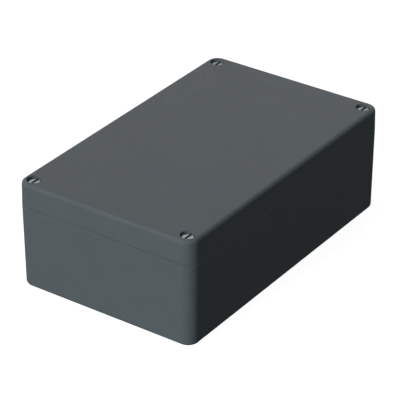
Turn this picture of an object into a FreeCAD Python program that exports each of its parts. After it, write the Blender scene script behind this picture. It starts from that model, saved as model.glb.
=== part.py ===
"""A glass-fibre polyester enclosure with a gasketed, screwed-down lid. Millimetres and degrees.

The origin is the middle of the underside. X runs across the box, Y along it and Z up.
The base is a deep moulded tray. Its rim carries a tongue that presses into a gasket in the lid.
Each corner lies outside the seal and holds a lid screw and a wall-fixing hole.
"""

import FreeCAD, Part

import math
import os

import Sketcher
from FreeCAD import Placement, Rotation, Vector

SIZES = {
    # Outer form
    "overall_width": 160.0,
    "overall_length": 260.0,
    "overall_height": 90.0,
    "lid_height": 20.0,
    "parting_gap": 0.3,
    "corner_round": 10.0,
    "base_draft": 0.6,
    "lid_draft": 1.2,
    "lid_edge_round": 3.2,
    "base_edge_round": 3.0,
    "base_rim_round": 0.8,
    "lid_rim_round": 0.4,
    # Walls and the cavity inside them
    "base_wall": 5.0,
    "base_floor": 5.0,
    "lid_top": 4.5,
    "cavity_draft": 0.8,
    "cavity_corner_round": 5.0,
    "step_corner_round": 6.0,
    "floor_edge_round": 2.0,
    # Seal between base and lid
    "tongue_width": 2.0,
    "tongue_height": 2.4,
    "tongue_edge_round": 0.5,
    "tongue_clearance": 0.4,
    "gasket_height": 2.6,
    "gasket_gap": 0.3,
    "gasket_edge_round": 0.5,
    "groove_rib": 2.0,
    # Wall-fixing holes, each beside a lid screw
    "fixing_offset": 15.0,
    "fixing_bore": 6.5,
    "well_bore": 11.0,
    "well_web": 8.0,
    "well_wall": 2.0,
    "lid_core_depth": 12.0,
    # Lid screws, with the part of the lid and base that holds them
    "head_diameter": 10.0,
    "head_height": 4.0,
    "head_recess": 1.8,
    "head_clearance": 0.75,
    "head_edge_round": 1.0,
    "recess_edge_round": 0.4,
    "slot_width": 2.0,
    "slot_depth": 2.0,
    "neck_diameter": 4.8,
    "neck_clearance": 0.9,
    "thread_diameter": 6.0,
    "thread_length": 10.0,
    "tip_chamfer": 0.8,
    "running_clearance": 0.05,
    "axial_clearance": 0.2,
    "seat_diameter": 13.6,
    # Washer that keeps each screw in the lid
    "retainer_diameter": 9.0,
    "retainer_thickness": 1.2,
    "retainer_clearance": 0.1,
    "retainer_pocket_clearance": 0.5,
    # Threaded inserts for the lid screws
    "insert_diameter": 9.0,
    "insert_bottom": 2.0,
    "tip_clearance": 2.2,
    "insert_groove_width": 1.5,
    "insert_groove_depth": 0.5,
    "insert_lead": 0.5,
    # Floor bosses and their threaded inserts
    "boss_inset_x": 20.0,
    "boss_inset_y": 35.0,
    "boss_diameter": 10.0,
    "boss_height": 8.0,
    "boss_draft": 2.0,
    "boss_root_round": 1.0,
    "plate_insert_diameter": 6.0,
    "plate_insert_length": 7.0,
    "plate_insert_bore": 3.3,
    "plate_insert_bottom": 1.0,
    "plate_insert_lead": 0.3,
}

LEVEL_TOLERANCE = 0.01
FULL_TURN = 360

# The most that the fillet along a floor may take of the corner round that runs into it
FILLET_SHARE = 0.8

# How a sketch numbers a line's points, its own origin and its own axes
START, END, CENTRE = 1, 2, 3
ORIGIN, X_AXIS, Y_AXIS = -1, -1, -2


class Size:
    """A length or an angle, held as a formula on the sheet together with its value now."""

    def __init__(self, formula, value):
        self.formula = formula
        self.value = value

    def __add__(self, other):
        return Size(f"({self.formula} + {other.formula})", self.value + other.value)

    def __sub__(self, other):
        return Size(f"({self.formula} - {other.formula})", self.value - other.value)

    def __mul__(self, number):
        return Size(f"({self.formula} * {number})", self.value * number)

    def __truediv__(self, number):
        return Size(f"({self.formula} / {number})", self.value / number)

    def __neg__(self):
        return self * -1

    def tangent(self):
        """The tangent of an angle."""
        return Size(f"tan({self.formula} * 1 deg)", math.tan(math.radians(self.value)))

    def times(self, other):
        """The product of two sizes."""
        return Size(f"({self.formula} * {other.formula})", self.value * other.value)

    def at_most(self, other):
        """The smaller of two sizes."""
        return Size(f"min({self.formula}; {other.formula})", min(self.value, other.value))


class Sheet:
    """The spreadsheet of driving dimensions. Each dimension is read as an attribute."""

    def __init__(self, document, sizes):
        self.sizes = sizes
        cells = document.addObject("Spreadsheet::Sheet", "Sizes")
        for row, (alias, value) in enumerate(sizes.items(), start=1):
            cells.set(f"A{row}", str(value))
            cells.setAlias(f"A{row}", alias)
        document.recompute()

    def __getattr__(self, alias):
        return Size(f"Sizes.{alias}", self.sizes[alias])


doc = FreeCAD.newDocument("enclosure")
size = Sheet(doc, SIZES)
ZERO = Size("0", 0.0)

# Levels and half sizes that several pieces share
half_width = size.overall_width / 2
half_length = size.overall_length / 2
parting_level = size.overall_height - size.lid_height
rim_level = parting_level - size.parting_gap

# Lid screws at the centres of the corner rounds, wall-fixing holes beside them, floor bosses
screw_x = half_width - size.corner_round
screw_y = half_length - size.corner_round
fixing_x = screw_x - size.fixing_offset
boss_x = half_width - size.boss_inset_x
boss_y = half_length - size.boss_inset_y

# Sealed cavity: its half sizes past the corner blocks, and where those blocks begin
cavity_half_width = half_width - size.base_wall
cavity_half_length = half_length - size.base_wall
well_margin = size.well_bore / 2 + size.well_wall + size.tongue_width
step_x = fixing_x - well_margin
step_y = screw_y - well_margin

# Gasket groove in the lid
groove_top = rim_level + size.tongue_height + size.gasket_gap + size.gasket_height
groove_inner = -size.tongue_clearance
groove_outer = size.tongue_width + size.tongue_clearance
rib_inner = groove_inner - size.groove_rib

# Lid screw, from its tip upwards, and the holes along it
shoulder_level = parting_level - size.axial_clearance - size.retainer_thickness
insert_level = shoulder_level - size.axial_clearance
tip_level = shoulder_level - size.thread_length
insert_length = insert_level - tip_level + size.tip_clearance + size.insert_bottom
head_seat_level = size.overall_height - size.head_recess - size.head_height
neck_length = head_seat_level - shoulder_level
pocket_ceiling = parting_level + size.thread_length
head_bore = size.head_diameter + size.head_clearance * 2
retainer_bore = size.neck_diameter + size.retainer_clearance * 2
retainer_pocket = size.retainer_diameter + size.retainer_pocket_clearance * 2
boss_level = size.base_floor + size.boss_height

# Rounds that the wall beside them may limit
lid_lean = size.lid_height.times(size.lid_draft.tangent())
recess_wall = size.corner_round - lid_lean - head_bore / 2 - size.recess_edge_round
lid_edge_round = size.lid_edge_round.at_most(recess_wall)
lid_cavity_depth = size.lid_height - size.lid_top
lid_cavity_lean = lid_cavity_depth.times(size.cavity_draft.tangent())
lid_cavity_corner = size.cavity_corner_round + rib_inner - lid_cavity_lean
lid_cavity_round = size.floor_edge_round.at_most(lid_cavity_corner * FILLET_SHARE)


def bind(item, name, amount):
    """Sets one property of an object to a size and ties it to the sheet."""
    item.setExpression(name, amount.formula)


def origin_plane(body, role):
    """The body's own origin plane of that role."""
    return next(plane for plane in body.Origin.OriginFeatures if plane.Role == role)


def sketch_on(body, name, role="XY_Plane", level=None):
    """A new sketch on one of the body's origin planes, raised to a level."""
    sketch = body.newObject("Sketcher::SketchObject", name)
    sketch.AttachmentSupport = (origin_plane(body, role), [""])
    sketch.MapMode = "FlatFace"
    if level is not None:
        sketch.AttachmentOffset = Placement(Vector(0, 0, level.value), Rotation())
        bind(sketch, "AttachmentOffset.Base.z", level)
    return sketch


def add_rules(sketch, rules):
    """Adds constraints in one go. Each comes with the size that sets its value, or None."""
    places = sketch.addConstraint([constraint for constraint, amount in rules])
    for place, (constraint, amount) in zip(places, rules):
        if amount is not None:
            bind(sketch, f"Constraints[{place}]", amount)


def coordinate(kind, element, end, amount):
    """The rule that fixes one coordinate of a point, measured from the sketch's origin."""
    if abs(amount.value) < LEVEL_TOLERANCE:
        axis = Y_AXIS if kind == "DistanceX" else X_AXIS
        return Sketcher.Constraint("PointOnObject", element, end, axis), None
    if amount.value > 0:
        rule = Sketcher.Constraint(kind, ORIGIN, START, element, end, amount.value)
        return rule, amount
    return Sketcher.Constraint(kind, element, end, ORIGIN, START, -amount.value), -amount


def draw_circle(sketch, x, y, diameter):
    """A circle fixed by its centre and its diameter."""
    centre = Vector(x.value, y.value, 0)
    circle = sketch.addGeometry(Part.Circle(centre, Vector(0, 0, 1), diameter.value / 2), False)
    add_rules(sketch, [
        (Sketcher.Constraint("Diameter", circle, diameter.value), diameter),
        coordinate("DistanceX", circle, CENTRE, x),
        coordinate("DistanceY", circle, CENTRE, y),
    ])


def draw_profile(sketch, points):
    """A closed outline of straight lines through points that are each fixed by two sizes."""
    corners = [Vector(x.value, y.value, 0) for x, y in points]
    following = corners[1:] + corners[:1]
    edges = [Part.LineSegment(start, end) for start, end in zip(corners, following)]
    lines = sketch.addGeometry(edges, False)
    rules = []
    for i, (x, y) in enumerate(points):
        joined = Sketcher.Constraint("Coincident", lines[i - 1], END, lines[i], START)
        rules.append((joined, None))
        rules.append(coordinate("DistanceX", lines[i], START, x))
        rules.append(coordinate("DistanceY", lines[i], START, y))
    add_rules(sketch, rules)


def corner_arc(corner, arriving, leaving, radius):
    """The arc that rounds a corner between two unit directions, and whether it turns left."""
    start = corner - arriving * radius
    end = corner + leaving * radius
    centre = start + leaving * radius
    bearings = [math.atan2(point.y - centre.y, point.x - centre.x) for point in (start, end)]
    turns_left = arriving.cross(leaving).z > 0
    first, last = bearings if turns_left else bearings[::-1]
    return Part.ArcOfCircle(Part.Circle(centre, Vector(0, 0, 1), radius), first, last), turns_left


def draw_rounded(sketch, points, rounds):
    """A closed outline of level and upright lines, taken anticlockwise, with rounded corners."""
    count = len(points)
    corners = [Vector(x.value, y.value, 0) for x, y in points]
    ways = [(corners[(i + 1) % count] - corners[i]).normalize() for i in range(count)]
    edges = []
    for i in range(count):
        start = corners[i] + ways[i] * rounds[i].value
        end = corners[(i + 1) % count] - ways[i] * rounds[(i + 1) % count].value
        edges.append(Part.LineSegment(start, end))
    bends = [corner_arc(corners[i], ways[i - 1], ways[i], rounds[i].value) for i in range(count)]
    placed = sketch.addGeometry(edges + [arc for arc, turns_left in bends], False)
    lines, arcs = placed[:count], placed[count:]
    rules = []
    for i, (x, y) in enumerate(points):
        arrives, leaves = (START, END) if bends[i][1] else (END, START)
        before = Sketcher.Constraint("Tangent", lines[i - 1], END, arcs[i], arrives)
        after = Sketcher.Constraint("Tangent", arcs[i], leaves, lines[i], START)
        radius = Sketcher.Constraint("Radius", arcs[i], rounds[i].value)
        rules += [(before, None), (after, None), (radius, rounds[i])]
        if abs(ways[i].x) > abs(ways[i].y):
            rules.append((Sketcher.Constraint("Horizontal", lines[i]), None))
            rules.append(coordinate("DistanceY", lines[i], START, y))
        else:
            rules.append((Sketcher.Constraint("Vertical", lines[i]), None))
            rules.append(coordinate("DistanceX", lines[i], START, x))
    add_rules(sketch, rules)


def draw_oblong(sketch, half_x, half_y, rounding):
    """The enclosure's rounded rectangle, centred on the origin."""
    points = four_places(half_x, half_y)
    draw_rounded(sketch, points, [rounding] * len(points))


def draw_seal_line(sketch, offset):
    """The cross-shaped line round the cavity and inside the corner blocks, moved outwards by offset."""
    wide, long = cavity_half_width + offset, cavity_half_length + offset
    near, far = step_x + offset, step_y + offset
    points = [
        (-near, -long), (near, -long), (near, -far),
        (wide, -far), (wide, far), (near, far),
        (near, long), (-near, long), (-near, far),
        (-wide, far), (-wide, -far), (-near, -far),
    ]
    outward = size.cavity_corner_round + offset
    inward = size.step_corner_round - offset
    draw_rounded(sketch, points, [outward, outward, inward] * 4)


def four_places(x, y):
    """The four points at these distances from the middle, anticlockwise from the front left."""
    return [(-x, -y), (x, -y), (x, y), (-x, y)]


def screw_places():
    """Where the lid screws stand."""
    return four_places(screw_x, screw_y)


def fixing_places():
    """Where the wall-fixing holes are."""
    return four_places(fixing_x, screw_y)


def boss_places():
    """Where the floor bosses stand: four near the corners and two half way along."""
    return four_places(boss_x, boss_y) + [(-boss_x, ZERO), (boss_x, ZERO)]


def new_body(name):
    """An empty body with a label of its own."""
    body = doc.addObject("PartDesign::Body", name)
    body.Label = name
    return body


def pad(body, name, sketch, length, upwards=True, draft=None):
    """Adds material over a sketch. A draft above zero narrows it away from the sketch."""
    feature = body.newObject("PartDesign::Pad", name)
    feature.Profile = sketch
    feature.Reversed = not upwards
    bind(feature, "Length", length)
    if draft is not None:
        bind(feature, "TaperAngle", -draft)
    doc.recompute()
    return feature


def pocket(body, name, sketch, depth, upwards=False, draft=None):
    """Cuts a sketch into the body. A draft above zero narrows the hole away from the sketch."""
    before = body.Shape.Volume
    feature = body.newObject("PartDesign::Pocket", name)
    feature.Profile = sketch
    feature.Reversed = upwards
    bind(feature, "Length", depth)
    if draft is not None:
        bind(feature, "TaperAngle", -draft)
    doc.recompute()
    if not body.Shape.Volume < before - LEVEL_TOLERANCE:
        raise RuntimeError(f"{body.Label}.{name} cuts nothing")
    return feature


def circles_pocket(body, name, level, places, diameter, depth, upwards=False):
    """Cuts the same round hole at several places."""
    sketch = sketch_on(body, f"{name}_sketch", level=level)
    for x, y in places:
        draw_circle(sketch, x, y, diameter)
    return pocket(body, name, sketch, depth, upwards)


def edges_at(feature, level):
    """The names of a feature's edges that lie wholly at one level."""
    edges = enumerate(feature.Shape.Edges, start=1)
    return [
        f"Edge{number}"
        for number, edge in edges
        if abs(edge.BoundBox.ZMin - level.value) < LEVEL_TOLERANCE
        and abs(edge.BoundBox.ZMax - level.value) < LEVEL_TOLERANCE
    ]


def circles_at(feature, level, radius):
    """The names of a feature's round edges of one radius at one level."""
    return [
        name
        for name in edges_at(feature, level)
        if hasattr(feature.Shape.getElement(name).Curve, "Radius")
        and abs(feature.Shape.getElement(name).Curve.Radius - radius.value) < LEVEL_TOLERANCE
    ]


def round_edges(body, name, feature, edges, radius):
    """Rounds the named edges of a feature."""
    fillet = body.newObject("PartDesign::Fillet", name)
    fillet.Base = (feature, edges)
    bind(fillet, "Radius", radius)
    doc.recompute()
    return fillet


def revolve(body, name, points):
    """Turns a half section, given as points of radius and height, round the body's Z axis."""
    sketch = sketch_on(body, f"{name}_sketch", role="XZ_Plane")
    draw_profile(sketch, points)
    feature = body.newObject("PartDesign::Revolution", name)
    feature.Profile = sketch
    feature.ReferenceAxis = (sketch, ["V_Axis"])
    feature.Angle = FULL_TURN
    doc.recompute()
    return feature


def place(body, x, y, z):
    """Stands a body at a point that is tied to the sheet."""
    for axis, amount in zip("xyz", (x, y, z)):
        bind(body, f"Placement.Base.{axis}", amount)


def make_base():
    """The moulded tray: drafted walls, sealed cavity, tongue, corner blocks and floor bosses."""
    body = new_body("base")

    outline = sketch_on(body, "rim_outline", level=rim_level)
    draw_oblong(outline, half_width, half_length, size.corner_round)
    block = pad(body, "drafted_block", outline, rim_level, upwards=False, draft=size.base_draft)
    block = round_edges(body, "foot_round", block, edges_at(block, ZERO), size.base_edge_round)
    block = round_edges(body, "rim_round", block, edges_at(block, rim_level), size.base_rim_round)

    opening = sketch_on(body, "cavity_outline", level=rim_level)
    draw_seal_line(opening, ZERO)
    cavity = pocket(
        body, "cavity", opening, rim_level - size.base_floor, draft=size.cavity_draft
    )
    round_edges(
        body, "cavity_round", cavity, edges_at(cavity, size.base_floor), size.floor_edge_round
    )

    ring = sketch_on(body, "tongue_outline", level=rim_level)
    draw_seal_line(ring, ZERO)
    draw_seal_line(ring, size.tongue_width)
    tongue = pad(body, "tongue", ring, size.tongue_height)
    crest = edges_at(tongue, rim_level + size.tongue_height)
    round_edges(body, "tongue_round", tongue, crest, size.tongue_edge_round)

    seats = sketch_on(body, "seat_outline", level=rim_level)
    for x, y in screw_places():
        draw_circle(seats, x, y, size.seat_diameter)
    pad(body, "lid_seats", seats, size.parting_gap)

    bosses = sketch_on(body, "boss_outline", level=boss_level)
    for x, y in boss_places():
        draw_circle(bosses, x, y, size.boss_diameter)
    grown = pad(body, "bosses", bosses, size.boss_height, upwards=False, draft=-size.boss_draft)
    root_radius = size.boss_diameter / 2 + size.boss_height.times(size.boss_draft.tangent())
    roots = circles_at(grown, size.base_floor, root_radius)
    round_edges(body, "boss_root_round", grown, roots, size.boss_root_round)

    circles_pocket(
        body, "boss_sockets", boss_level, boss_places(),
        size.plate_insert_diameter, size.plate_insert_length,
    )
    circles_pocket(
        body, "retainer_recesses", parting_level, screw_places(),
        retainer_pocket, parting_level - insert_level,
    )
    circles_pocket(
        body, "insert_sockets", insert_level, screw_places(),
        size.insert_diameter, insert_length,
    )
    circles_pocket(
        body, "fixing_wells", rim_level, fixing_places(),
        size.well_bore, rim_level - size.well_web,
    )
    circles_pocket(
        body, "fixing_holes", size.well_web, fixing_places(), size.fixing_bore, size.well_web
    )
    return body


def make_lid():
    """The moulded lid: drafted skirt, cavity, gasket groove, screw holes and cored corners."""
    body = new_body("lid")

    outline = sketch_on(body, "skirt_outline", level=parting_level)
    draw_oblong(outline, half_width, half_length, size.corner_round)
    block = pad(body, "drafted_block", outline, size.lid_height, draft=size.lid_draft)
    block = round_edges(
        body, "top_round", block, edges_at(block, size.overall_height), lid_edge_round
    )
    block = round_edges(
        body, "skirt_round", block, edges_at(block, parting_level), size.lid_rim_round
    )

    opening = sketch_on(body, "cavity_outline", level=parting_level)
    draw_seal_line(opening, rib_inner)
    cavity = pocket(
        body, "cavity", opening, lid_cavity_depth, upwards=True, draft=size.cavity_draft
    )
    ceiling = parting_level + lid_cavity_depth
    round_edges(body, "cavity_round", cavity, edges_at(cavity, ceiling), lid_cavity_round)

    groove = sketch_on(body, "groove_outline", level=parting_level)
    draw_seal_line(groove, groove_inner)
    draw_seal_line(groove, groove_outer)
    pocket(body, "gasket_groove", groove, groove_top - parting_level, upwards=True)

    recesses = circles_pocket(
        body, "head_recesses", size.overall_height, screw_places(),
        head_bore, size.overall_height - head_seat_level,
    )
    mouths = circles_at(recesses, size.overall_height, head_bore / 2)
    round_edges(body, "recess_round", recesses, mouths, size.recess_edge_round)
    circles_pocket(
        body, "neck_holes", head_seat_level, screw_places(),
        size.neck_diameter + size.neck_clearance * 2, size.lid_height,
    )
    circles_pocket(
        body, "retainer_pockets", parting_level, screw_places(),
        retainer_pocket, pocket_ceiling - parting_level, upwards=True,
    )
    circles_pocket(
        body, "corner_cores", parting_level, fixing_places(),
        size.well_bore, size.lid_core_depth, upwards=True,
    )
    return body


def make_gasket():
    """The endless sealing cord that fills the top of the lid's groove."""
    body = new_body("gasket")
    ring = sketch_on(body, "cord_outline", level=groove_top)
    draw_seal_line(ring, groove_inner)
    draw_seal_line(ring, groove_outer)
    cord = pad(body, "cord", ring, size.gasket_height, upwards=False)
    lower = edges_at(cord, groove_top - size.gasket_height)
    round_edges(body, "lip_round", cord, lower, size.gasket_edge_round)
    return body


def make_lid_screw(name, x, y):
    """A slotted cheese-head screw whose neck is thinner than its thread."""
    body = new_body(name)
    tip = size.thread_diameter / 2 - size.tip_chamfer
    head_from = size.thread_length + neck_length
    head_to = head_from + size.head_height
    turned = revolve(body, "turning", [
        (ZERO, ZERO),
        (tip, ZERO),
        (size.thread_diameter / 2, size.tip_chamfer),
        (size.thread_diameter / 2, size.thread_length),
        (size.neck_diameter / 2, size.thread_length),
        (size.neck_diameter / 2, head_from),
        (size.head_diameter / 2, head_from),
        (size.head_diameter / 2, head_to),
        (ZERO, head_to),
    ])
    round_edges(body, "head_round", turned, edges_at(turned, head_to), size.head_edge_round)
    slot = sketch_on(body, "slot_outline", level=head_to)
    reach = size.head_diameter / 2 + size.head_clearance
    half_slot = size.slot_width / 2
    draw_profile(slot, [
        (-half_slot, -reach), (half_slot, -reach), (half_slot, reach), (-half_slot, reach),
    ])
    pocket(body, "slot", slot, size.slot_depth)
    place(body, x, y, tip_level)
    return body


def make_retainer(name, x, y):
    """The washer that rests on the thread's shoulder and is too wide to leave the lid's pocket."""
    body = new_body(name)
    ring = sketch_on(body, "ring_outline")
    draw_circle(ring, ZERO, ZERO, size.retainer_diameter)
    draw_circle(ring, ZERO, ZERO, retainer_bore)
    pad(body, "ring", ring, size.retainer_thickness)
    place(body, x, y, shoulder_level)
    return body


def make_insert(name, diameter, length, bore, bottom, lead, groove_width, groove_depth):
    """A blind threaded bush with a lead-in at its mouth and a groove that holds it in the wall."""
    body = new_body(name)
    outer, inner = diameter / 2, bore / 2
    middle = length / 2
    revolve(body, "turning", [
        (ZERO, ZERO),
        (outer, ZERO),
        (outer, middle - groove_width / 2),
        (outer - groove_depth, middle - groove_width / 2),
        (outer - groove_depth, middle + groove_width / 2),
        (outer, middle + groove_width / 2),
        (outer, length),
        (inner + lead, length),
        (inner, length - lead),
        (inner, bottom),
        (ZERO, bottom),
    ])
    return body


def make_lid_screw_insert(name, x, y):
    """The bush under a lid screw."""
    body = make_insert(
        name, size.insert_diameter, insert_length,
        size.thread_diameter + size.running_clearance * 2, size.insert_bottom,
        size.insert_lead, size.insert_groove_width, size.insert_groove_depth,
    )
    place(body, x, y, insert_level - insert_length)
    return body


def make_plate_insert(name, x, y):
    """The bush in a floor boss, for a mounting plate or a rail."""
    body = make_insert(
        name, size.plate_insert_diameter, size.plate_insert_length,
        size.plate_insert_bore, size.plate_insert_bottom,
        size.plate_insert_lead, size.insert_groove_width, size.insert_groove_depth,
    )
    place(body, x, y, boss_level - size.plate_insert_length)
    return body


def make_enclosure():
    """Every piece of the enclosure, as a list of bodies."""
    bodies = [make_base(), make_lid(), make_gasket()]
    for number, (x, y) in enumerate(screw_places(), start=1):
        bodies.append(make_lid_screw(f"lid_screw_{number}", x, y))
        bodies.append(make_retainer(f"screw_retainer_{number}", x, y))
        bodies.append(make_lid_screw_insert(f"lid_screw_insert_{number}", x, y))
    for number, (x, y) in enumerate(boss_places(), start=1):
        bodies.append(make_plate_insert(f"plate_insert_{number}", x, y))
    doc.recompute()
    return bodies


def check(bodies):
    """Stops with a message if any object failed or any piece isn't a sound solid."""
    for item in doc.Objects:
        if {"Invalid", "Error"} & set(item.State):
            raise RuntimeError(f"{item.Label} failed: {item.State}")
    for body in bodies:
        shape = body.Shape
        if shape.isNull() or not shape.isValid() or len(shape.Solids) != 1:
            raise RuntimeError(f"{body.Label} isn't one sound solid")


def export(bodies):
    """Writes each piece to a STEP file named after it."""
    os.makedirs("parts", exist_ok=True)
    for body in bodies:
        body.Shape.exportStep(f"parts/{body.Label}.step")


def main():
    """Builds, checks and writes the enclosure."""
    bodies = make_enclosure()
    check(bodies)
    export(bodies)
    return bodies


main()
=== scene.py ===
"""Looks of the glass-fibre polyester enclosure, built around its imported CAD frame.

The moulded base and lid are the CAD's own, with a finish of their own here. The lid screws, the
washers that keep them in the lid, the threaded bushes and the seal get their threads, knurls, slots
and lips here, at the places of the CAD nodes that they stand for. Everything is in metres.
"""

import logging
import math
from contextlib import contextmanager
from dataclasses import dataclass
from enum import Enum
from typing import Callable, Iterator, Sequence, Union

import bmesh
import bpy
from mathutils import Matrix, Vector


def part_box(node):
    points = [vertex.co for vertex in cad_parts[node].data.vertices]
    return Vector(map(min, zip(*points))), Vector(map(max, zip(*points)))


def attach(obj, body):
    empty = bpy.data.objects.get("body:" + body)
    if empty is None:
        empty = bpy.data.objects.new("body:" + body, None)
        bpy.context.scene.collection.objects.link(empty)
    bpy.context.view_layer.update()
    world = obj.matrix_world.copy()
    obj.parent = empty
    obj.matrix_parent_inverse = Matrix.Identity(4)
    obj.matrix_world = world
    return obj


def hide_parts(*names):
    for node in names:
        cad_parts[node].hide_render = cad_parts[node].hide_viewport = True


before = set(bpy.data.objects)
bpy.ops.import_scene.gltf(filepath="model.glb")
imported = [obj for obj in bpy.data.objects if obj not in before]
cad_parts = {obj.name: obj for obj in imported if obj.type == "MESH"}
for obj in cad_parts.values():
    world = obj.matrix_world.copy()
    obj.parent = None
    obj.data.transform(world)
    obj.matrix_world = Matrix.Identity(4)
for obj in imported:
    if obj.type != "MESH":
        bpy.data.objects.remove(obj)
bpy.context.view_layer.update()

Colour = tuple[float, float, float]
Paint = tuple[float, float, float, float]
Outline = Sequence[tuple[float, float]]
Input = Union[float, tuple, bpy.types.NodeSocket]

MM = 0.001
FULL_TURN = 2 * math.pi
UP = Vector((0, 0, 1))
WHITE: Paint = (1, 1, 1, 1)

# Vertices this near to each other are one, and a flat cut is ten times as exact.
WELD = 1e-6
SAW_PRECISION = WELD / 10

# A cutting tool is this many radii or heights of its piece long, so that it comes out at both ends.
OVERLONG = 3

# Edges of threaded pieces that are sharper than this, in degrees, stay crisp.
CREASE = 30.0

# The neck of a lid screw, which its washer goes round.
NECK_RADIUS = 2.4 * MM

log = logging.getLogger("enclosure")


# The record's names


class Slot(Enum):
    """The record's material slots."""

    POLYESTER = "polyester"
    SEAL = "gasket_rubber"
    STEEL = "stainless_steel"
    NYLON = "nylon"
    BRASS = "brass"


class Corner(Enum):
    """The lid's corners, numbered as their screws are."""

    FRONT_LEFT = 1
    FRONT_RIGHT = 2
    BACK_RIGHT = 3
    BACK_LEFT = 4

    @property
    def in_front(self) -> bool:
        """Whether the corner is on the lid's front side."""
        return self in (Corner.FRONT_LEFT, Corner.FRONT_RIGHT)


# Modelling by hand


class Pick(Enum):
    """What gets selected in edit mode."""

    VERTICES = "VERT"
    FACES = "FACE"


class Carving(Enum):
    """What is left of a piece and the tool solid that works on it."""

    TAKE_AWAY = "DIFFERENCE"
    KEEP_SHARED = "INTERSECT"
    JOIN = "UNION"


def leave_only(piece: bpy.types.Object) -> None:
    """Selects a piece and nothing else.

    Args:
        piece: The object that the next operators act on.
    """
    bpy.ops.object.select_all(action="DESELECT")
    piece.select_set(True)
    bpy.context.view_layer.objects.active = piece


@contextmanager
def editing(piece: bpy.types.Object, pick: Pick = Pick.VERTICES) -> Iterator[None]:
    """Puts a piece in edit mode with nothing in it selected.

    Args:
        piece: The object to edit.
        pick: What gets selected.
    """
    leave_only(piece)
    bpy.ops.object.mode_set(mode="EDIT")
    bpy.ops.mesh.select_mode(type=pick.value)
    bpy.ops.mesh.select_all(action="DESELECT")
    yield
    bpy.ops.object.mode_set(mode="OBJECT")


def pick_vertices(piece: bpy.types.Object, rule: Callable[[Vector], bool]) -> None:
    """Selects vertices of a piece in edit mode by their place.

    Args:
        piece: The object in edit mode.
        rule: Tells from a vertex's place whether it is wanted.
    """
    shape = bmesh.from_edit_mesh(piece.data)
    for vertex in shape.verts:
        vertex.select_set(rule(vertex.co))
    shape.select_flush_mode()
    bmesh.update_edit_mesh(piece.data)


def pick_faces(piece: bpy.types.Object, rule: Callable[[Vector, Vector], bool]) -> None:
    """Selects faces of a piece in edit mode by their middle and normal.

    Args:
        piece: The object in edit mode.
        rule: Tells from a face's middle and normal whether it is wanted.
    """
    shape = bmesh.from_edit_mesh(piece.data)
    shape.normal_update()
    for face in shape.faces:
        face.select_set(rule(face.calc_center_median(), face.normal))
    bmesh.update_edit_mesh(piece.data)


def apply_modifier(piece: bpy.types.Object, modifier: bpy.types.Modifier) -> None:
    """Applies a modifier to its piece."""
    leave_only(piece)
    bpy.ops.object.modifier_apply(modifier=modifier.name)


def weld(piece: bpy.types.Object) -> None:
    """Merges a piece's doubled vertices and turns its faces outwards.

    Args:
        piece: The object to clean up.
    """
    with editing(piece):
        bpy.ops.mesh.select_all(action="SELECT")
        bpy.ops.mesh.remove_doubles(threshold=WELD)
        bpy.ops.mesh.normals_make_consistent(inside=False)


def drawn_line(name: str, points: Sequence[Vector]) -> bpy.types.Object:
    """Draws an open line by extruding one vertex from point to point.

    Args:
        name: The new object's name.
        points: The line's points.

    Returns:
        The new object.
    """
    bpy.ops.object.select_all(action="DESELECT")
    bpy.ops.mesh.primitive_plane_add(size=MM, location=(0, 0, 0))
    line = bpy.context.active_object
    line.name = line.data.name = name
    with editing(line):
        bpy.ops.mesh.select_all(action="SELECT")
        bpy.ops.mesh.merge(type="CENTER")
        bpy.ops.transform.translate(value=points[0])
        for start, end in zip(points, points[1:]):
            bpy.ops.mesh.extrude_vertices_move(TRANSFORM_OT_translate={"value": end - start})
    return line


def turned(name: str, outline: Outline, segments: int = 96) -> bpy.types.Object:
    """Turns an outline round the Z axis, as on a lathe.

    Args:
        name: The new object's name.
        outline: Radius and height of each corner, from the axis and back to it, or a closed loop.
        segments: How many faces go round.

    Returns:
        The solid.
    """
    piece = drawn_line(name, [Vector((radius, 0, height)) for radius, height in outline])
    lathe = piece.modifiers.new("lathe", "SCREW")
    lathe.angle = FULL_TURN
    lathe.steps = lathe.render_steps = segments
    lathe.use_merge_vertices = True
    lathe.merge_threshold = WELD
    apply_modifier(piece, lathe)
    weld(piece)
    return piece


def carve(
    piece: bpy.types.Object, tool: bpy.types.Object, carving: Carving = Carving.TAKE_AWAY
) -> None:
    """Combines a piece with a tool solid, which is used up.

    Args:
        piece: The solid that stays.
        tool: The solid that works on it.
        carving: What is left of the two.
    """
    cut = piece.modifiers.new("carve", "BOOLEAN")
    cut.operation = carving.value
    cut.solver = "EXACT"
    cut.object = tool
    apply_modifier(piece, cut)
    bpy.data.objects.remove(tool)


def soften_edges(piece: bpy.types.Object, width: float, angle: float = 35.0) -> None:
    """Rounds a piece's sharp edges and shades the rest smoothly.

    Args:
        piece: The object to finish.
        width: The rounding's width.
        angle: The least angle in degrees that counts as an edge.
    """
    bevel = piece.modifiers.new("soften", "BEVEL")
    bevel.width = width
    bevel.segments = 2
    bevel.limit_method = "ANGLE"
    bevel.angle_limit = math.radians(angle)
    apply_modifier(piece, bevel)
    shade(piece, angle)


def shade(piece: bpy.types.Object, angle: float) -> None:
    """Shades a piece smoothly, apart from edges sharper than an angle in degrees."""
    leave_only(piece)
    bpy.ops.object.shade_smooth_by_angle(angle=math.radians(angle))


def block(name: str, size: Vector, middle: Vector) -> bpy.types.Object:
    """Makes a rectangular tool solid.

    Args:
        name: The new object's name.
        size: Its three lengths.
        middle: The place of its middle.

    Returns:
        The block.
    """
    bpy.ops.object.select_all(action="DESELECT")
    bpy.ops.mesh.primitive_cube_add(size=1, location=middle)
    solid = bpy.context.active_object
    solid.name = name
    solid.scale = size
    bpy.ops.object.transform_apply(location=True, rotation=False, scale=True)
    return solid


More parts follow.
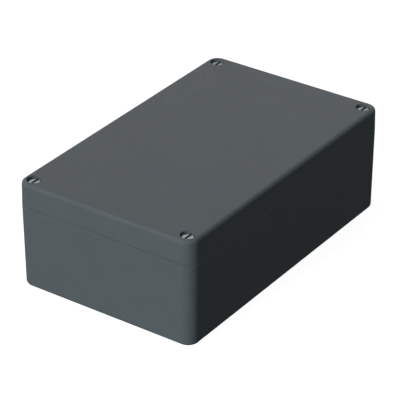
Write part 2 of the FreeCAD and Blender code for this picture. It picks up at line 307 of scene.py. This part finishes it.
def copy_to(piece: bpy.types.Object, name: str, place: Vector) -> bpy.types.Object:
    """Copies a piece with a mesh of its own, and leaves the copy's object at the origin.

    Args:
        piece: The master, modelled round the Z axis.
        name: The copy's name.
        place: Where the copy's axis and zero height go.

    Returns:
        The copy.
    """
    copy = piece.copy()
    copy.data = piece.data.copy()
    copy.name = copy.data.name = name
    bpy.context.scene.collection.objects.link(copy)
    with editing(copy):
        bpy.ops.mesh.select_all(action="SELECT")
        bpy.ops.transform.translate(value=place)
    return copy


@dataclass(frozen=True)
class Thread:
    """A metric screw thread, as a threaded rod that becomes a screw's end or a bush's bore.

    The crest and root are radii, and the widths are those of their flats. Every height in it counts
    from the same zero, so a screw's ridges lie in its bush's grooves. The spare turns are wound past
    each end of the rod and sawn off, which leaves both ends flat.
    """

    pitch: float
    crest: float
    root: float
    crest_width: float
    root_width: float
    segments: int = 48
    spare_turns: int = 2

    def rod(self, name: str, low: float, high: float) -> bpy.types.Object:
        """Winds a threaded rod with flat ends.

        Args:
            name: The new object's name.
            low: The lower end's height.
            high: The upper end's height.

        Returns:
            The rod.
        """
        turns_below = math.ceil(abs(low) / self.pitch) + self.spare_turns
        turns = math.ceil((high - low) / self.pitch) + self.spare_turns * 2
        start = -turns_below * self.pitch
        ridge = [
            (self.root, 0),
            (self.root, self.root_width / 2),
            (self.crest, (self.pitch - self.crest_width) / 2),
            (self.crest, (self.pitch + self.crest_width) / 2),
            (self.root, self.pitch - self.root_width / 2),
            (self.root, self.pitch),
        ]
        piece = drawn_line(name, [Vector((radius, 0, start + height)) for radius, height in ridge])
        winding = piece.modifiers.new("winding", "SCREW")
        winding.angle = FULL_TURN
        winding.screw_offset = self.pitch
        winding.iterations = turns
        winding.steps = winding.render_steps = self.segments
        apply_modifier(piece, winding)
        weld(piece)
        self.saw_off(piece, low, above=False)
        self.saw_off(piece, high, above=True)
        weld(piece)
        return piece

    def saw_off(self, piece: bpy.types.Object, height: float, above: bool) -> None:
        """Cuts a rod flat at a height and closes it there.

        Args:
            piece: The rod.
            height: Where it is cut.
            above: Whether what is above goes, and not what is below.
        """
        with editing(piece):
            bpy.ops.mesh.select_all(action="SELECT")
            bpy.ops.mesh.bisect(
                plane_co=(0, 0, height),
                plane_no=UP,
                threshold=SAW_PRECISION,
                use_fill=True,
                clear_outer=above,
                clear_inner=not above,
            )


# Materials


class Sum(Enum):
    """Arithmetic that a node does on two values."""

    ADD = "ADD"
    MULTIPLY = "MULTIPLY"
    LARGER = "MAXIMUM"


@dataclass(frozen=True)
class Variation:
    """How a value varies softly over a surface.

    The scale is the number of patches to the metre, low and high are the value in the lowest and
    highest patches, and detail is how many finer layers the patches have.
    """

    scale: float
    low: float
    high: float
    detail: float = 2.0


@dataclass(frozen=True)
class Relief:
    """How deep a relief in a surface is, and how much of it shows, from 0 to 1."""

    depth: float
    strength: float


class Recipe:
    """The node tree of a material or the world, with one call for each kind of node in use.

    Nearly all of a soft noise lies between its low and high. The crests are how far apart the
    rings of a wave texture are at a scale of 1, and the wobble is how unevenly they run.
    """

    NOISE_LOW = 0.3
    NOISE_HIGH = 0.7
    WAVE_CRESTS = 0.31
    WAVE_WOBBLE = 0.4
    WAVE_DETAIL = 2.0

    def __init__(self, owner: Union[bpy.types.Material, bpy.types.World]) -> None:
        """Starts an empty tree.

        Args:
            owner: The material or the world that the tree is for.
        """
        self.owner = owner
        owner.use_nodes = True
        self.nodes = owner.node_tree.nodes
        self.links = owner.node_tree.links
        self.nodes.clear()

    def add(
        self, kind: str, settings: dict[str, object], inputs: dict[str, Input]
    ) -> bpy.types.Node:
        """Adds a node.

        Args:
            kind: Its type, without the words ShaderNode.
            settings: Its own properties.
            inputs: The value or the link of each input, by name.

        Returns:
            The node.
        """
        node = self.nodes.new(f"ShaderNode{kind}")
        for key, value in settings.items():
            setattr(node, key, value)
        for key, value in inputs.items():
            self.join(value, node.inputs[key])
        return node

    def join(self, value: Input, socket: bpy.types.NodeSocket) -> None:
        """Gives a socket its value or its link.

        Args:
            value: The value, or the output that is linked.
            socket: The input that gets it.
        """
        if isinstance(value, bpy.types.NodeSocket):
            self.links.new(value, socket)
        else:
            socket.default_value = value

    def surface(self, shader: bpy.types.NodeSocket) -> bpy.types.ID:
        """Ends the tree.

        Args:
            shader: What the surface or the surrounding looks like.

        Returns:
            The tree's owner.
        """
        ending = "OutputWorld" if isinstance(self.owner, bpy.types.World) else "OutputMaterial"
        self.add(ending, {}, {"Surface": shader})
        return self.owner

    def principled(self, inputs: dict[str, Input]) -> bpy.types.ID:
        """Ends the tree with Blender's general surface and returns the tree's owner."""
        return self.surface(self.add("BsdfPrincipled", {}, inputs).outputs["BSDF"])

    def coordinates(
        self,
        centre: Sequence[float] = (0, 0, 0),
        turn: Sequence[float] = (0, 0, 0),
        stretch: Sequence[float] = (1, 1, 1),
    ) -> bpy.types.NodeSocket:
        """The object's own coordinates, for a pattern that is stretched, turned and moved.

        Args:
            centre: The point that the pattern has its zero at.
            turn: Angles in degrees.
            stretch: How much longer the pattern gets in each direction, before it is turned.

        Returns:
            The coordinates.
        """
        place = self.add("TexCoord", {}, {}).outputs["Object"]
        angles = [math.radians(amount) for amount in turn]
        inputs = {"Vector": place, "Location": centre, "Rotation": angles, "Scale": stretch}
        return self.add("Mapping", {"vector_type": "TEXTURE"}, inputs).outputs["Vector"]

    def noise(
        self, place: bpy.types.NodeSocket, scale: float, detail: float = 2.0
    ) -> bpy.types.NodeSocket:
        """Soft noise from 0 to 1.

        Args:
            place: The coordinates that it follows.
            scale: Patches to the metre.
            detail: How many finer layers it has.

        Returns:
            The noise.
        """
        inputs = {"Vector": place, "Scale": scale, "Detail": detail}
        return self.add("TexNoise", {}, inputs).outputs["Fac"]

    def varied(self, place: bpy.types.NodeSocket, variation: Variation) -> bpy.types.NodeSocket:
        """A value that varies softly over the surface.

        Args:
            place: The coordinates that it follows.
            variation: Its patches and its range.

        Returns:
            The value.
        """
        inputs = {
            "Value": self.noise(place, variation.scale, variation.detail),
            "From Min": self.NOISE_LOW,
            "From Max": self.NOISE_HIGH,
            "To Min": variation.low,
            "To Max": variation.high,
        }
        return self.add("MapRange", {}, inputs).outputs["Result"]

    def reckon(self, operation: Sum, first: Input, second: Input) -> bpy.types.NodeSocket:
        """The outcome of arithmetic on two values.

        Args:
            operation: What is done with them.
            first: The first value.
            second: The second value.

        Returns:
            The outcome.
        """
        node = self.add("Math", {"operation": operation.value}, {})
        self.join(first, node.inputs[0])
        self.join(second, node.inputs[1])
        return node.outputs["Value"]

    def mixed(
        self, share: Input, first: bpy.types.NodeSocket, second: bpy.types.NodeSocket
    ) -> bpy.types.NodeSocket:
        """A mix of two shaders.

        Args:
            share: The second shader's share.
            first: The first shader.
            second: The second shader.

        Returns:
            The mix.
        """
        node = self.add("MixShader", {}, {"Fac": share})
        self.join(first, node.inputs[1])
        self.join(second, node.inputs[2])
        return node.outputs["Shader"]

    def seen(self) -> bpy.types.NodeSocket:
        """Tells what is looked at from light that bounces.

        Returns:
            1 for what the camera, a reflection or glass shows, and 0 for light that bounces.
        """
        rays = self.add("LightPath", {}, {}).outputs
        looking = self.reckon(Sum.LARGER, rays["Is Camera Ray"], rays["Is Glossy Ray"])
        return self.reckon(Sum.LARGER, looking, rays["Is Transmission Ray"])

    def brightened(self, colour: Colour, value: bpy.types.NodeSocket) -> bpy.types.NodeSocket:
        """A colour that gets lighter or darker.

        Args:
            colour: The colour itself.
            value: A factor that varies round 1.

        Returns:
            The colour.
        """
        inputs = {"Color": (*colour, 1), "Value": value}
        return self.add("HueSaturation", {}, inputs).outputs["Color"]

    def bump(
        self,
        height: bpy.types.NodeSocket,
        relief: Relief,
        over: Union[bpy.types.NodeSocket, None] = None,
    ) -> bpy.types.NodeSocket:
        """A normal that shows relief.

        Args:
            height: The relief's pattern, from 0 to 1.
            relief: Its depth, and how much of it shows.
            over: The normal of a coarser relief.

        Returns:
            The normal.
        """
        inputs: dict[str, Input] = {
            "Height": height,
            "Distance": relief.depth,
            "Strength": relief.strength,
        }
        if over is not None:
            inputs["Normal"] = over
        return self.add("Bump", {}, inputs).outputs["Normal"]

    def rings(self, centre: Sequence[float], spacing: float) -> bpy.types.NodeSocket:
        """Fine rings round a point on an upright axis, as a lathe leaves them.

        Args:
            centre: A point on the axis.
            spacing: The rings' distance.

        Returns:
            The rings' pattern.
        """
        inputs = {
            "Vector": self.coordinates(centre),
            "Scale": self.WAVE_CRESTS / spacing,
            "Distortion": self.WAVE_WOBBLE,
            "Detail": self.WAVE_DETAIL,
        }
        settings = {"wave_type": "RINGS", "rings_direction": "SPHERICAL"}
        return self.add("TexWave", settings, inputs).outputs["Fac"]


@dataclass(frozen=True)
class MouldedPolyester:
    """Blue-grey glass-fibre polyester as it leaves the mould, with grain and faint fibre marks.

    A fibre mark's direction is a tilt out of the level and a heading, in degrees. The streaks'
    range starts far below 0, so that only the peaks of their noise leave a mark. The bare tone is
    the colour's brightness beside the marks, and the fibre tone is what a full mark adds to it.
    """

    name: str
    colour: Colour = (0.0865, 0.107, 0.117)
    specular: float = 0.103
    roughness: Variation = Variation(260.0, 0.43, 0.53, 3.0)
    clouds: Variation = Variation(38.0, 0.975, 1.025, 4.0)
    specks: Variation = Variation(2600.0, 0.95, 1.05)
    streaks: Variation = Variation(2400.0, -3.0, 1.0, 1.0)
    fibres: tuple[tuple[float, float], ...] = ((12, 20), (-25, 80), (35, -45), (62, 130))
    fibre_length: float = 16.0
    fibre_tone: float = 0.14
    bare_tone: float = 0.973
    fibre_relief: Relief = Relief(0.04 * MM, 0.5)
    grain_scale: float = 2300.0
    grain_detail: float = 3.0
    grain_relief: Relief = Relief(0.1 * MM, 0.5)
    ripple_scale: float = 120.0
    ripple_relief: Relief = Relief(0.12 * MM, 0.25)

    def fibre_prints(self, recipe: Recipe) -> bpy.types.NodeSocket:
        """Short fine streaks in several directions, where glass fibres lie under the skin.

        Args:
            recipe: The tree that they are part of.

        Returns:
            The streaks' pattern, 0 where there is none.
        """
        total: Input = 0.0
        for tilt, heading in self.fibres:
            place = recipe.coordinates(turn=(tilt, 0, heading), stretch=(1, self.fibre_length, 1))
            total = recipe.reckon(Sum.LARGER, total, recipe.varied(place, self.streaks))
        return total

    def material(self) -> bpy.types.Material:
        """Makes the material.

        Returns:
            The material.
        """
        recipe = Recipe(bpy.data.materials.new(self.name))
        place = recipe.coordinates()
        prints = self.fibre_prints(recipe)
        grain = recipe.noise(place, self.grain_scale, self.grain_detail)
        normal = recipe.bump(recipe.noise(place, self.ripple_scale), self.ripple_relief)
        normal = recipe.bump(prints, self.fibre_relief, normal)
        normal = recipe.bump(grain, self.grain_relief, normal)
        clouds, specks = recipe.varied(place, self.clouds), recipe.varied(place, self.specks)
        lighter = recipe.reckon(Sum.MULTIPLY, prints, self.fibre_tone)
        tone = recipe.reckon(Sum.ADD, lighter, self.bare_tone)
        tone = recipe.reckon(Sum.MULTIPLY, recipe.reckon(Sum.MULTIPLY, clouds, specks), tone)
        return recipe.principled(
            {
                "Base Color": recipe.brightened(self.colour, tone),
                "Roughness": recipe.varied(place, self.roughness),
                "Specular IOR Level": self.specular,
                "Normal": normal,
            }
        )


@dataclass(frozen=True)
class TurnedMetal:
    """Metal from the lathe: fine rings, satin and slightly uneven."""

    name: str
    colour: Colour
    centre: tuple[float, float, float]
    roughness: Variation = Variation(900.0, 0.28, 0.42, 3.0)
    stains: Variation = Variation(420.0, 0.92, 1.05, 3.0)
    ring_spacing: float = 0.22 * MM
    ring_relief: Relief = Relief(0.02 * MM, 0.35)

    def material(self) -> bpy.types.Material:
        """Makes the material.

        Returns:
            The material.
        """
        recipe = Recipe(bpy.data.materials.new(self.name))
        place = recipe.coordinates()
        rings = recipe.rings(self.centre, self.ring_spacing)
        return recipe.principled(
            {
                "Base Color": recipe.brightened(self.colour, recipe.varied(place, self.stains)),
                "Metallic": 1.0,
                "Roughness": recipe.varied(place, self.roughness),
                "Normal": recipe.bump(rings, self.ring_relief),
            }
        )


@dataclass(frozen=True)
class MouldedNylon:
    """Natural nylon: off-white, slightly milky, with a soft shine."""

    name: str
    colour: Colour = (0.70, 0.67, 0.60)
    roughness: Variation = Variation(700.0, 0.38, 0.52)
    clouds: Variation = Variation(380.0, 0.94, 1.04, 3.0)
    milkiness: float = 0.15
    milk_depth: float = 1.0 * MM
    grain_scale: float = 3200.0
    grain_relief: Relief = Relief(0.03 * MM, 0.4)

    def material(self) -> bpy.types.Material:
        """Makes the material.

        Returns:
            The material.
        """
        recipe = Recipe(bpy.data.materials.new(self.name))
        place = recipe.coordinates()
        grain = recipe.noise(place, self.grain_scale)
        return recipe.principled(
            {
                "Base Color": recipe.brightened(self.colour, recipe.varied(place, self.clouds)),
                "Roughness": recipe.varied(place, self.roughness),
                "Subsurface Weight": self.milkiness,
                "Subsurface Scale": self.milk_depth,
                "Normal": recipe.bump(grain, self.grain_relief),
            }
        )


@dataclass(frozen=True)
class SealRubber:
    """Matt black rubber with the fine pores of a foamed skin."""

    name: str
    colour: Colour = (0.026, 0.026, 0.027)
    specular: float = 0.4
    roughness: Variation = Variation(600.0, 0.66, 0.84)
    bloom: Variation = Variation(160.0, 0.8, 1.5, 4.0)
    pore_scale: float = 2600.0
    pore_relief: Relief = Relief(0.06 * MM, 0.5)

    def material(self) -> bpy.types.Material:
        """Makes the material.

        Returns:
            The material.
        """
        recipe = Recipe(bpy.data.materials.new(self.name))
        place = recipe.coordinates()
        pores = recipe.add("TexVoronoi", {}, {"Vector": place, "Scale": self.pore_scale})
        return recipe.principled(
            {
                "Base Color": recipe.brightened(self.colour, recipe.varied(place, self.bloom)),
                "Roughness": recipe.varied(place, self.roughness),
                "Specular IOR Level": self.specular,
                "Normal": recipe.bump(pores.outputs["Distance"], self.pore_relief),
            }
        )


# The enclosure's pieces


def dress(piece: bpy.types.Object, material: bpy.types.Material) -> None:
    """Gives a piece one material all over."""
    piece.data.materials.clear()
    piece.data.materials.append(material)


def middle_of(node: str) -> Vector:
    """The middle of a CAD node's box, seen from above, at its lowest height."""
    low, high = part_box(node)
    return Vector(((low.x + high.x) / 2, (low.y + high.y) / 2, low.z))


@dataclass
class Housing:
    """The moulded base and lid, whose shapes are the CAD's own."""

    parts: tuple[str, ...] = ("base", "lid")

    def build(self) -> None:
        """Dresses the base and the lid."""
        for part in self.parts:
            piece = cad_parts[part]
            dress(piece, MouldedPolyester(f"polyester_{part}").material())
            log.info("%s: moulded polyester", part)


@dataclass
class Seal:
    """The rubber seal in the lid's groove, with a channel between its two lips.

    Edges sharper than the crease, in degrees, stay crisp, and a face belongs to the underside where
    its normal's height is below looks_down.
    """

    node: str = "gasket"
    lip: float = 0.45 * MM
    channel: float = 0.5 * MM
    crease: float = 40.0
    looks_down: float = -0.9

    def build(self) -> None:
        """Shapes the seal from the CAD's ring and dresses it."""
        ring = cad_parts[self.node]
        seal = ring.copy()
        seal.data = ring.data.copy()
        seal.name = seal.data.name = "seal"
        seal.parent = None
        for key in list(seal.keys()):
            del seal[key]
        bpy.context.scene.collection.objects.link(seal)
        self.shape(seal)
        shade(seal, self.crease)
        dress(seal, SealRubber("seal_rubber").material())
        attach(seal, "lid")
        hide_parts(self.node)
        log.info("seal: %d faces", len(seal.data.polygons))

    def shape(self, seal: bpy.types.Object) -> None:
        """Presses the channel into the ring's underside.

        Args:
            seal: The ring to shape.
        """
        weld(seal)
        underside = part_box(self.node)[0].z

        def below(middle: Vector, normal: Vector) -> bool:
            """Whether a face is part of the ring's flat underside."""
            return middle.z < underside + WELD and normal.z < self.looks_down

        with editing(seal, Pick.FACES):
            pick_faces(seal, below)
            bpy.ops.mesh.inset(thickness=self.lip, use_boundary=True)
            bpy.ops.transform.translate(value=(0, 0, self.channel))


@dataclass
class LidScrew:
    """A slotted lid screw of M6 with a slim neck, so that its washer keeps it in the lid.

    The neck goes down into the thread by its overlap, and widens to the head in a small fillet.
    The edge is the width of the rounding on the head's and the slot's sharp edges.
    """

    corners: tuple[Corner, ...] = tuple(Corner)
    # Painted light and shade: the front screws' steel is painted lighter and the back screws'
    # darker, though it is the same steel.
    front_steel_painted_light: Colour = (0.342, 0.368, 0.345)
    back_steel_painted_shade: Colour = (0.283, 0.301, 0.302)
    head_radius: float = 5.0 * MM
    head_height: float = 4.0 * MM
    head_round: float = 1.0 * MM
    steps_of_round: int = 8
    neck_radius: float = NECK_RADIUS
    neck_fillet: float = 0.4 * MM
    neck_overlap: float = 2.0 * MM
    slot_width: float = 2.0 * MM
    slot_depth: float = 2.0 * MM
    edge: float = 0.12 * MM
    thread_length: float = 10.0 * MM
    tip_chamfer: float = 0.8 * MM
    thread: Thread = Thread(
        pitch=1.0 * MM,
        crest=3.0 * MM,
        root=2.387 * MM,
        crest_width=0.125 * MM,
        root_width=0.25 * MM,
        segments=64,
    )

    def build(self) -> None:
        """Makes the four screws. Zero height is the shoulder at the thread's upper end."""
        low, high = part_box("lid_screw_1")
        master = self.master(high.z - low.z)
        for corner in self.corners:
            node = f"lid_screw_{corner.value}"
            place = middle_of(node) + UP * self.thread_length
            piece = copy_to(master, f"slotted_screw_{corner.value}", place)
            # Painted light and shade: the front screws get the lighter steel tone, the back screws
            # the darker one.
            colour = self.front_steel_painted_light if corner.in_front else self.back_steel_painted_shade
            finish = TurnedMetal(f"steel_{corner.value}", colour, tuple(place))
            dress(piece, finish.material())
            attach(piece, f"screw_{corner.value}")
            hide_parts(node)
            log.info("%s: %d faces", piece.name, len(piece.data.polygons))
        bpy.data.objects.remove(master)

    def master(self, length: float) -> bpy.types.Object:
        """Makes one screw round the Z axis.

        Args:
            length: The screw's whole length.

        Returns:
            The screw.
        """
        top = length - self.thread_length
        piece = turned("screw_master", self.head_outline(top))
        tool = self.head_radius * OVERLONG
        middle = Vector((0, 0, top - self.slot_depth + tool / 2))
        carve(piece, block("slot", Vector((self.slot_width, tool, tool)), middle))
        soften_edges(piece, self.edge)
        rod = self.thread.rod("thread", -self.thread_length, 0)
        carve(rod, turned("thread_blank", self.thread_outline()), Carving.KEEP_SHARED)
        carve(piece, rod, Carving.JOIN)
        shade(piece, CREASE)
        return piece

    def head_outline(self, top: float) -> list[tuple[float, float]]:
        """The neck and head in outline, from inside the thread to the middle of the head's top.

        Args:
            top: The height of the head's top.

        Returns:
            The radius and height of each corner.
        """
        seat = top - self.head_height
        fillet = self.neck_fillet
        bend = fillet / 3
        outline = [
            (0, -self.neck_overlap),
            (self.neck_radius, -self.neck_overlap),
            (self.neck_radius, seat - fillet),
            (self.neck_radius + bend, seat - bend),
            (self.neck_radius + fillet, seat),
            (self.head_radius, seat),
        ]
        for step in range(self.steps_of_round + 1):
            angle = math.pi / 2 * step / self.steps_of_round
            radius = self.head_radius - self.head_round * (1 - math.cos(angle))
            outline.append((radius, top - self.head_round * (1 - math.sin(angle))))
        return outline + [(0, top)]

    def thread_outline(self) -> list[tuple[float, float]]:
        """The thread's blank in outline, with the tip's chamfer and the cone up to the neck.

        Returns:
            The radius and height of each corner.
        """
        radius, length, chamfer = self.thread.crest, self.thread_length, self.tip_chamfer
        return [
            (0, -length),
            (radius - chamfer, -length),
            (radius + WELD, chamfer - length),
            (radius + WELD, self.neck_radius - radius),
            (self.neck_radius, 0),
            (0, 0),
        ]


@dataclass
class RetainingWasher:
    """A split nylon washer on the screw's neck, under the lid."""

    corners: tuple[Corner, ...] = tuple(Corner)
    neck_radius: float = NECK_RADIUS
    clearance: float = 0.1 * MM
    chamfer: float = 0.2 * MM
    split: float = 0.7 * MM
    edge: float = 0.05 * MM
    segments: int = 72

    def build(self) -> None:
        """Makes the four washers."""
        low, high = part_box("screw_retainer_1")
        radius, height = (high.x - low.x) / 2, high.z - low.z
        master = self.master(radius, height)
        for corner in self.corners:
            node = f"screw_retainer_{corner.value}"
            piece = copy_to(master, f"split_washer_{corner.value}", middle_of(node))
            dress(piece, MouldedNylon(f"nylon_{corner.value}").material())
            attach(piece, f"retainer_{corner.value}")
            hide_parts(node)
            log.info("%s: %d faces", piece.name, len(piece.data.polygons))
        bpy.data.objects.remove(master)

    def master(self, radius: float, height: float) -> bpy.types.Object:
        """Makes one washer round the Z axis.

        Args:
            radius: Its outer radius.
            height: Its thickness.

        Returns:
            The washer.
        """
        bore, chamfer = self.neck_radius + self.clearance, self.chamfer
        outline = [
            (bore, chamfer),
            (bore + chamfer, 0),
            (radius - chamfer, 0),
            (radius, chamfer),
            (radius, height - chamfer),
            (radius - chamfer, height),
            (bore + chamfer, height),
            (bore, height - chamfer),
            (bore, chamfer),
        ]
        piece = turned("washer_master", outline, self.segments)
        size = Vector((radius * 2, self.split, height * OVERLONG))
        carve(piece, block("split", size, Vector((radius + bore / 2, 0, height / 2))))
        soften_edges(piece, self.edge)
        return piece


@dataclass
class ThreadedBush:
    """A turned brass bush that is moulded in: knurled outside, threaded inside, closed below.

    The bottom is the thickness left under the thread, the groove goes round the bush's waist, the
    lead is the chamfer at both ends, and the mouth is how much wider than the thread the bore opens.
    Heights count from a zero that may lie above the bush's top.
    """

    nodes: tuple[str, ...]
    piece_name: str
    thread: Thread
    bottom: float
    groove_width: float
    groove_depth: float
    lead: float
    mouth: float = 0.15 * MM
    zero_above_top: float = 0.0
    knurl_depth: float = 0.22 * MM
    teeth: int = 36
    finish_colour: Colour = (0.60, 0.42, 0.16)

    def build(self) -> None:
        """Makes the bushes. Zero height is the upper end of the thread that goes in."""
        low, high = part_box(self.nodes[0])
        radius, height = (high.x - low.x) / 2, high.z - low.z
        master = self.master(radius, height)
        for number, node in enumerate(self.nodes, start=1):
            place = middle_of(node) + UP * (height + self.zero_above_top)
            piece = copy_to(master, f"{self.piece_name}_{number}", place)
            finish = TurnedMetal(f"brass_{piece.name}", self.finish_colour, tuple(place))
            dress(piece, finish.material())
            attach(piece, "base")
            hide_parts(node)
            log.info("%s: %d faces", piece.name, len(piece.data.polygons))
        bpy.data.objects.remove(master)

    def master(self, radius: float, height: float) -> bpy.types.Object:
        """Makes one bush round the Z axis.

        Args:
            radius: Its outer radius over the knurl.
            height: Its whole length.

        Returns:
            The bush.
        """
        top = -self.zero_above_top
        foot = top - height
        middle = foot + height / 2
        waist = radius - self.groove_depth
        half = self.groove_width / 2
        lead = self.lead
        mouth = self.thread.crest + self.mouth
        outline = [
            (0, foot),
            (radius - lead, foot),
            (radius, foot + lead),
            (radius, middle - half),
            (waist, middle - half),
            (waist, middle + half),
            (radius, middle + half),
            (radius, top - lead),
            (radius - lead, top),
            (mouth, top),
            (0, top - mouth),
        ]
        piece = turned(f"{self.piece_name}_master", outline, self.teeth * 2)
        self.knurl(piece, radius)
        carve(piece, self.thread.rod("bore", foot + self.bottom, top + self.thread.pitch))
        weld(piece)
        shade(piece, CREASE)
        return piece

    def knurl(self, piece: bpy.types.Object, radius: float) -> None:
        """Presses grooves in between the teeth of the outer surface.

        Args:
            piece: The turned bush.
            radius: Its outer radius.
        """
        step = FULL_TURN / (self.teeth * 2)
        factor = (radius - self.knurl_depth) / radius

        def between_teeth(place: Vector) -> bool:
            """Whether a vertex is on the outer surface, at the bottom of a groove."""
            index = round(math.atan2(place.y, place.x) / step)
            return index % 2 == 1 and math.hypot(place.x, place.y) > radius - WELD

        with editing(piece):
            pick_vertices(piece, between_teeth)
            bpy.ops.transform.resize(value=(factor, factor, 1), center_override=(0, 0, 0))


LID_BUSHES = ThreadedBush(
    nodes=tuple(f"lid_screw_insert_{corner.value}" for corner in Corner),
    piece_name="lid_bush",
    thread=Thread(
        pitch=1.0 * MM,
        crest=3.06 * MM,
        root=2.5 * MM,
        crest_width=0.165 * MM,
        root_width=0.3 * MM,
        segments=64,
    ),
    bottom=2.0 * MM,
    groove_width=1.5 * MM,
    groove_depth=0.5 * MM,
    lead=0.5 * MM,
    zero_above_top=0.2 * MM,
)
PLATE_BUSHES = ThreadedBush(
    nodes=tuple(f"plate_insert_{number}" for number in range(1, 7)),
    piece_name="plate_bush",
    thread=Thread(
        pitch=0.7 * MM,
        crest=2.02 * MM,
        root=1.65 * MM,
        crest_width=0.1 * MM,
        root_width=0.22 * MM,
    ),
    bottom=1.0 * MM,
    groove_width=1.2 * MM,
    groove_depth=0.4 * MM,
    lead=0.3 * MM,
    knurl_depth=0.18 * MM,
    teeth=28,
)


# Light, floor and camera


@dataclass(frozen=True)
class Lamp:
    """A soft lamp far away, which no reflection shows.

    Its direction points from the object to it, its level is how bright a white surface that faces
    it looks, and its softness is how wide it looks from the object, in degrees.
    """

    name: str
    direction: tuple[float, float, float]
    level: float
    colour: Colour = (1.0, 1.0, 1.0)
    softness: float = 9.8

    def hang(self) -> None:
        """Makes the lamp."""
        data = bpy.data.lights.new(self.name, "SUN")
        data.energy = self.level * math.pi
        data.color = self.colour
        data.angle = math.radians(self.softness)
        lamp = bpy.data.objects.new(self.name, data)
        lamp.rotation_euler = Vector(self.direction).to_track_quat("Z", "Y").to_euler()
        lamp.visible_glossy = False
        bpy.context.scene.collection.objects.link(lamp)


@dataclass
class Studio:
    """A pale floor in a white surrounding, and soft lamps in front, behind and above on the left.

    The floor and the surrounding are pale where they are seen and dark in their bounce, so that the
    object keeps its deep shades. The mat, a dim glowing sheet hidden from the camera, paints shade
    into what the object reflects.
    """

    lamps: tuple[Lamp, ...] = (
        Lamp("key", (-0.0905, -0.81, 0.302), 0.887),
        Lamp("fill", (-0.45, 0.88, 0.12), 0.546),
        Lamp("overhead", (-0.755, -0.089, 1.0), 0.2725, (1.0, 0.63, 0.62)),
    )
    sky_level: float = 0.222
    floor_size: float = 14.0
    floor_depth: float = -0.0006
    floor_glow: float = 0.955
    floor_cloth: Paint = (0.25, 0.25, 0.25, 1)
    floor_bounce: Paint = (0.1, 0.1, 0.1, 1)
    mat_size: float = 1.6
    mat_depth: float = -0.0003
    mat_glow: float = 0.076

    def build(self) -> None:
        """Sets up the surrounding, the floor, the mat and the lamps."""
        self.surrounding()
        self.floor()
        self.mat()
        for lamp in self.lamps:
            lamp.hang()
        bpy.context.scene.view_settings.view_transform = "Standard"
        log.info("studio: floor, mat, surrounding and %d lamps", len(self.lamps))

    def surrounding(self) -> None:
        """White where it is seen, and a low even light on the object."""
        recipe = Recipe(bpy.data.worlds.new("studio"))
        level = {"Value": recipe.seen(), "To Min": self.sky_level, "To Max": 1.0}
        strength = recipe.add("MapRange", {}, level).outputs["Result"]
        sky = recipe.add("Background", {}, {"Color": WHITE, "Strength": strength})
        bpy.context.scene.world = recipe.surface(sky.outputs["Background"])

    def plane(self, name: str, size: float, height: float) -> bpy.types.Object:
        """Lays a flat sheet.

        Args:
            name: Its name.
            size: Its side.
            height: Its height.

        Returns:
            The sheet.
        """
        bpy.ops.object.select_all(action="DESELECT")
        bpy.ops.mesh.primitive_plane_add(size=size, location=(0, 0, height))
        sheet = bpy.context.active_object
        sheet.name = name
        return sheet

    def floor(self) -> None:
        """The pale floor: white with a faint shadow where it is seen, and clear from below."""
        floor = self.plane("floor", self.floor_size, self.floor_depth)
        recipe = Recipe(bpy.data.materials.new("pale_floor"))
        glow = recipe.add("Emission", {}, {"Color": WHITE, "Strength": self.floor_glow})
        cloth = recipe.add("BsdfDiffuse", {}, {"Color": self.floor_cloth})
        pale = recipe.add("AddShader", {}, {})
        recipe.join(glow.outputs["Emission"], pale.inputs[0])
        recipe.join(cloth.outputs["BSDF"], pale.inputs[1])
        bounce = recipe.add("BsdfDiffuse", {}, {"Color": self.floor_bounce})
        shader = recipe.mixed(recipe.seen(), bounce.outputs["BSDF"], pale.outputs["Shader"])
        clear = recipe.add("BsdfTransparent", {}, {})
        underneath = recipe.add("NewGeometry", {}, {}).outputs["Backfacing"]
        dress(floor, recipe.surface(recipe.mixed(underneath, shader, clear.outputs["BSDF"])))

    def mat(self) -> None:
        """A dim, faintly glowing sheet on the floor that only reflections and bounced light meet:
        painted shade on the object's sides.
        """
        mat = self.plane("mat", self.mat_size, self.mat_depth)
        mat.visible_camera = False
        mat.visible_transmission = False
        mat.visible_shadow = False
        recipe = Recipe(bpy.data.materials.new("painted_shade_sheet"))
        # Painted shade: a faint glow in place of the white floor, seen only in the object's
        # reflections and bounce.
        glow = recipe.add("Emission", {}, {"Color": WHITE, "Strength": self.mat_glow})
        dress(mat, recipe.surface(glow.outputs["Emission"]))


@dataclass
class Viewpoint:
    """The photograph's camera. Its angles are in degrees, and its lens and sensor in millimetres."""

    azimuth: float = 35.028
    elevation: float = 29.959
    distance: float = 1.7131377
    target: tuple[float, float, float] = (0.0039687, -0.0106844, 0.045)
    lens: float = 199.321
    sensor: float = 36.0
    nearest: float = 0.01

    def build(self) -> None:
        """Makes the camera the scene's own."""
        across, up = math.radians(self.azimuth), math.radians(self.elevation)
        level = math.cos(up)
        back = Vector((math.sin(across) * level, -math.cos(across) * level, math.sin(up)))
        data = bpy.data.cameras.new("camera")
        data.lens = self.lens
        data.sensor_width = self.sensor
        data.clip_start = self.nearest
        camera = bpy.data.objects.new("camera", data)
        camera.location = Vector(self.target) + back * self.distance
        camera.rotation_euler = back.to_track_quat("Z", "Y").to_euler()
        bpy.context.scene.collection.objects.link(camera)
        bpy.context.scene.camera = camera


def main() -> None:
    """Builds every piece, the studio and the camera."""
    logging.basicConfig(level=logging.INFO, format="%(name)s: %(message)s")
    Viewpoint().build()
    Housing().build()
    Seal().build()
    LidScrew().build()
    RetainingWasher().build()
    LID_BUSHES.build()
    PLATE_BUSHES.build()
    Studio().build()


if __name__ == "__main__":
    main()
